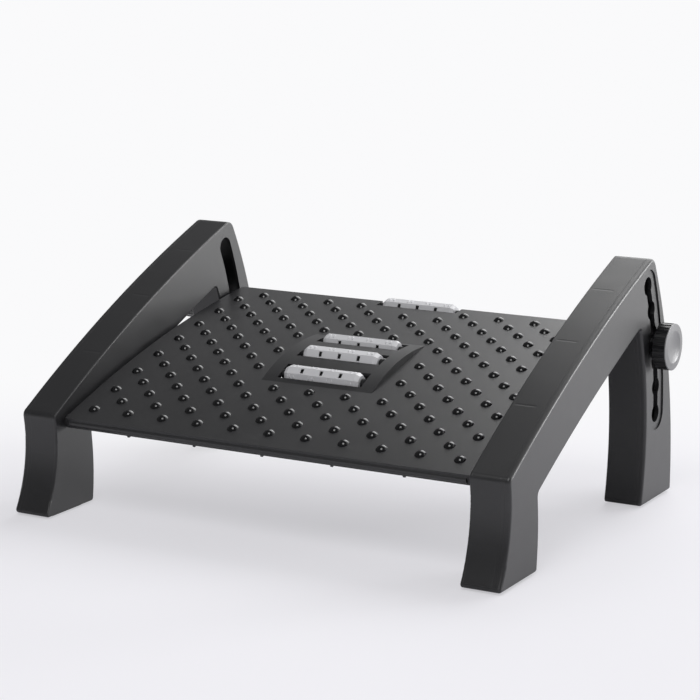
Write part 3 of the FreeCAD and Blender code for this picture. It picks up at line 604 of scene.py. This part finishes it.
@dataclass(frozen=True)
class PlateArch:
    """The footplate's arch in side view, along which the rollers stand."""

    front_slope: float = math.radians(20.298)
    radius: float = 1.232
    pod_middle: float = 0.14725
    roller_pitch: float = 0.034
    edge_roller_place: float = 0.2909

    def slope(self, along: float) -> float:
        """The slope, in radians, at a distance along the arch from the plate's front edge."""
        return self.front_slope - along / self.radius

    def roller_slopes(self) -> dict[str, float]:
        """The slope below each roller, by the roller's name.

        Returns:
            The slopes in radians, from the front roller to the one at the rear edge.
        """
        places = {
            "front_roller": self.pod_middle - self.roller_pitch,
            "middle_roller": self.pod_middle,
            "back_roller": self.pod_middle + self.roller_pitch,
            "edge_roller": self.edge_roller_place,
        }
        return {name: self.slope(along) for name, along in places.items()}


@dataclass
class MassageRoller:
    """One eight-sided roller with pairs of short rounded ribs on every other long face."""

    finishes: Finishes
    name: str
    slope: float
    turn: float
    corner_radius: float = 0.0088
    long_faces: int = 8
    pair_count: int = 4
    pair_spacing: float = 0.0186
    rib_spacing: float = 0.0040
    rib_half_width: float = 0.00085
    rib_half_length: float = 0.0021
    rib_height: float = 0.0011
    rib_sink: float = 0.0002
    rib_phase: float = 0.75
    rib_points_round: int = 14
    rib_rows: int = 6
    rib_tip_gap: float = 0.02
    colour: Colour = (0.66, 0.66, 0.68)
    mark_colour: Colour = (0.50, 0.50, 0.52)
    roughness: float = 0.42

    def axis(self) -> Vector:
        """The middle of the roller's axis."""
        low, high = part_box(self.name)
        return (low + high) / 2

    def plastic(self) -> bpy.types.Material:
        """Builds the roller's own plastic, which knows where its axis is, for the painted shade in its
        pockets.

        Returns:
            The material.
        """
        axis = self.axis()
        finish = RollerPlastic(
            f"pale grey plastic of {self.name}", self.colour, self.mark_colour, self.roughness,
            axis_y=axis.y, axis_z=axis.z)
        return finish.material()

    def ribs(self, plastic: bpy.types.Material) -> bpy.types.Object:
        """Builds the ribs: each is the upper half of an ellipsoid that stands square on a face.

        A rib's point at the angles u round it and v up it is half_width cos v cos u along the roller,
        half_length cos v sin u across the face and height sin v out of it.

        Args:
            plastic: The roller's finish.

        Returns:
            One mesh with every rib of the roller.
        """
        axis = self.axis()
        around = np.linspace(0, 2 * math.pi, self.rib_points_round, endpoint=False)[None, None, None, :]
        up = np.linspace(0, math.pi / 2 - self.rib_tip_gap, self.rib_rows)[None, None, :, None]
        pairs = (np.arange(self.pair_count) - (self.pair_count - 1) / 2) * self.pair_spacing
        spots = np.concatenate([pairs - self.rib_spacing / 2, pairs + self.rib_spacing / 2])
        spots = spots[None, :, None, None]
        rib_faces = self.long_faces // 2
        steps = (np.arange(rib_faces) + self.rib_phase) * 2 * math.pi / rib_faces
        normals = (self.slope + self.turn + steps)[:, None, None, None]
        x = axis.x + spots + self.rib_half_width * np.cos(up) * np.cos(around) + 0 * normals
        across = self.rib_half_length * np.cos(up) * np.sin(around) + 0 * spots
        flat_radius = self.corner_radius * math.cos(math.pi / self.long_faces)
        out = flat_radius - self.rib_sink + self.rib_height * np.sin(up)
        y = axis.y + out * np.cos(normals) - across * np.sin(normals)
        z = axis.z + out * np.sin(normals) + across * np.cos(normals)
        return grids_piece(f"{self.name}_ribs", np.stack(np.broadcast_arrays(x, y, z), axis=-1), plastic)

    def build(self) -> None:
        """Dresses the roller and its axle and adds the ribs."""
        plastic = self.plastic()
        dress(self.name, plastic)
        dress(f"{self.name}_axle", self.finishes.steel)
        settle(self.ribs(plastic), self.name, "roller_plastic")


@dataclass
class ClampKnob:
    """A fluted knob with a dished silver cap, a collar and a threaded stud."""

    finishes: Finishes
    side: Side
    thread_pitch: float = 0.00125
    thread_depth: float = 0.00062
    end_taper: float = 0.001
    rings_in_a_turn: int = 10
    points_round: int = 36

    def thread(self) -> bpy.types.Object:
        """Builds the stud: a bar whose radius is a triangle wave of the turn less the angle.

        The turn grows with the place along the bar, so the wave winds round it as a thread does.

        Returns:
            The threaded stud, tapered at both ends.
        """
        low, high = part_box(f"{self.side.word}_knob_stud")
        centre, radius = (low + high) / 2, (high.z - low.z) / 2
        count = int((high.x - low.x) / self.thread_pitch * self.rings_in_a_turn)
        x = np.linspace(low.x, high.x, count)[:, None]
        angle = np.linspace(0, 2 * math.pi, self.points_round, endpoint=False)[None, :]
        turn = (x / self.thread_pitch - angle / (2 * math.pi)) % 1.0
        reach = radius - self.thread_depth * np.abs(2 * turn - 1)
        from_end = np.minimum(x - low.x, high.x - x) + 0 * angle
        rise = self.thread_depth * np.clip(from_end, 0, self.end_taper) / self.end_taper
        reach = np.minimum(reach, radius - self.thread_depth + rise)
        points = np.stack(
            [x + 0 * angle, centre.y + reach * np.cos(angle), centre.z + reach * np.sin(angle)], axis=-1)
        return surface_piece(f"{self.side.word}_threaded_stud", points, self.finishes.steel)

    def build(self) -> None:
        """Dresses the knob's nodes and threads its stud."""
        word = self.side.word
        dress(f"{word}_knob_collar", self.finishes.knob)
        dress(f"{word}_knob_grip", self.finishes.knob)
        dress(f"{word}_knob_cap", self.finishes.cap)
        settle(self.thread(), f"{word}_knob", "steel", f"{word}_knob_stud")


@dataclass(frozen=True)
class SoftBox:
    """A square lamp."""

    name: str
    place: Place
    size: float
    power: float
    aim: Place = (0.0, 0.0, 0.1)

    def build(self) -> None:
        """Adds the lamp, turned to its aim."""
        data = bpy.data.lights.new(self.name, "AREA")
        data.shape, data.size, data.energy = "SQUARE", self.size, self.power
        box = bpy.data.objects.new(self.name, data)
        box.location = self.place
        box.rotation_euler = (Vector(self.aim) - Vector(self.place)).to_track_quat("-Z", "Y").to_euler()
        bpy.context.scene.collection.objects.link(box)


@dataclass
class Studio:
    """The white sweep, the sky of soft light round it and the lamps."""

    floor_size: float = 30.0
    floor_colour: Colour = (0.79, 0.784, 0.82)
    floor_roughness: float = 0.9
    floor_specular: float = 0.1
    near_glow: Colour = (0.925, 0.917, 0.955)
    far_glow: Colour = (0.955, 0.955, 0.965)
    near_share: float = 0.52
    view_direction: Place = (-0.491, 0.871, 0.0)
    fade_along_view: Limits = (-0.05, 0.5)
    fade_all_round: Limits = (0.75, 1.9)
    sky_colour: Colour = (0.99, 0.992, 1.0)
    backdrop_light: float = 0.965
    room_light: float = 0.16
    wall_light: float = 0.9
    wall_depth: Limits = (-0.30, 0.55)
    wall_top: Limits = (1.0, 0.40)
    wall_right: Limits = (-0.58, -0.12)
    wall_right_gain: float = 1.6
    wall_least: float = 0.04
    lamps: tuple[SoftBox, ...] = (
        SoftBox("key soft box", (0.34, -1.28, 1.86), 1.0, 19.0),
        SoftBox("rear top soft box", (0.1, 1.5, 1.6), 1.6, 25.0),
        SoftBox("low right soft box", (1.8, 2.0, 0.42), 0.8, 30.0, (0.2, 0.0, 0.1)),
    )

    def floor_finish(self) -> bpy.types.Material:
        """Builds the floor's material, which turns into plain white light with the distance.

        Near the part the camera sees a mix of that light and the lit floor, and a mirrored ray sees the
        floor alone.

        Returns:
            The material.
        """
        made = bpy.data.materials.new("studio floor")
        made.use_nodes = True
        graph = Graph(made.node_tree)
        shader = made.node_tree.nodes["Principled BSDF"]
        shader.inputs["Base Color"].default_value = (*self.floor_colour, 1)
        shader.inputs["Roughness"].default_value = self.floor_roughness
        shader.inputs["Specular IOR Level"].default_value = self.floor_specular
        place = graph.add("TexCoord").outputs["Object"]
        along = graph.add("VectorMath", {"operation": "DOT_PRODUCT"}, in0=place, in1=self.view_direction)
        distance = graph.add("VectorMath", {"operation": "LENGTH"}, in0=place)
        away = graph.ramp(along.outputs["Value"], *self.fade_along_view)
        around = graph.ramp(distance.outputs["Value"], *self.fade_all_round)
        far = graph.math("MAXIMUM", away, around)
        tone = graph.add("Mix", {"data_type": "RGBA"}, in0=far, in6=self.near_glow, in7=self.far_glow)
        glow = graph.add("Emission", None, Color=tone.outputs[2], Strength=1.0)
        path = graph.add("LightPath")
        mirrored = graph.math("MAXIMUM", path.outputs["Is Glossy Ray"], path.outputs["Is Transmission Ray"])
        share = graph.math("MULTIPLY_ADD", far, 1.0 - self.near_share, self.near_share)
        shown = graph.math("MULTIPLY", path.outputs["Is Camera Ray"], share)
        fade = graph.math("MAXIMUM", shown, graph.math("MULTIPLY", mirrored, far))
        mix = graph.add("MixShader", None, in0=fade, in1=shader.outputs[0], in2=glow.outputs[0])
        out = made.node_tree.nodes["Material Output"]
        made.node_tree.links.new(mix.outputs[0], out.inputs["Surface"])
        return made

    def floor(self) -> None:
        """Lays a large plane on the stage."""
        half = self.floor_size / 2
        corners = np.array([[-half, -half, 0], [half, -half, 0], [half, half, 0], [-half, half, 0]])
        mesh = bpy.data.meshes.new("studio_floor")
        mesh.from_pydata(corners.tolist(), [], [[0, 1, 2, 3]])
        mesh.materials.append(self.floor_finish())
        piece = bpy.data.objects.new("studio_floor", mesh)
        bpy.context.scene.collection.objects.link(piece)

    def sky(self) -> None:
        """Builds the world: white to the camera, and else a dim room with a bright wall at its right rear."""
        world = bpy.data.worlds.new("studio")
        bpy.context.scene.world = world
        world.use_nodes = True
        graph = Graph(world.node_tree)
        shown = world.node_tree.nodes["Background"]
        path = graph.add("LightPath")
        direction = graph.add("SeparateXYZ", None, Vector=graph.add("TexCoord").outputs["Generated"])
        behind = graph.ramp(direction.outputs["Y"], *self.wall_depth)
        low = graph.ramp(direction.outputs["Z"], *self.wall_top)
        rightward = graph.ramp(direction.outputs["X"], *self.wall_right)
        strip = graph.math("MULTIPLY", behind, low)
        wall = graph.math(
            "MULTIPLY", strip, graph.math("MULTIPLY_ADD", rightward, self.wall_right_gain, self.wall_least))
        level = graph.math("MULTIPLY_ADD", wall, self.wall_light, self.room_light)
        strength = graph.add(
            "Mix", {"data_type": "FLOAT"}, in0=path.outputs["Is Camera Ray"], in2=level,
            in3=self.backdrop_light)
        world.node_tree.links.new(strength.outputs[0], shown.inputs["Strength"])
        shown.inputs["Color"].default_value = (*self.sky_colour, 1)

    def build(self) -> None:
        """Sets the stage and the lights."""
        self.floor()
        self.sky()
        for lamp in self.lamps:
            lamp.build()
        LOG.info("studio set")


@dataclass
class PhotoCamera:
    """The photograph's camera, worked out from the plate's lattice and the legs' edges."""

    place: Place = (0.9375, -1.6611, 0.5363)
    pitch: float = 11.854
    yaw: float = 29.398
    lens: float = 116.59
    film_width: float = 36.0

    def build(self) -> None:
        """Adds the camera and makes it the scene's own."""
        data = bpy.data.cameras.new("photo camera")
        data.sensor_width, data.lens = self.film_width, self.lens
        camera = bpy.data.objects.new("photo camera", data)
        camera.location = self.place
        camera.rotation_euler = (math.radians(90 - self.pitch), 0, math.radians(self.yaw))
        bpy.context.scene.collection.objects.link(camera)
        bpy.context.scene.camera = camera


# How far, in degrees, each roller is turned on its axle at rest.
ROLLER_TURNS = {"front_roller": 8.0, "middle_roller": 27.0, "back_roller": 40.0, "edge_roller": 33.0}


def main() -> None:
    """Builds the camera, the studio and every sub-assembly."""
    logging.basicConfig(level=logging.INFO, format="%(message)s")
    bpy.context.scene.view_settings.view_transform = "Standard"
    PhotoCamera().build()
    Studio().build()
    finishes = Finishes()
    Stand(finishes).build()
    Platform(finishes).build()
    for name, slope in PlateArch().roller_slopes().items():
        MassageRoller(finishes, name, slope, math.radians(ROLLER_TURNS[name])).build()
    for side in Side:
        ClampKnob(finishes, side).build()


if __name__ == "__main__":
    main()
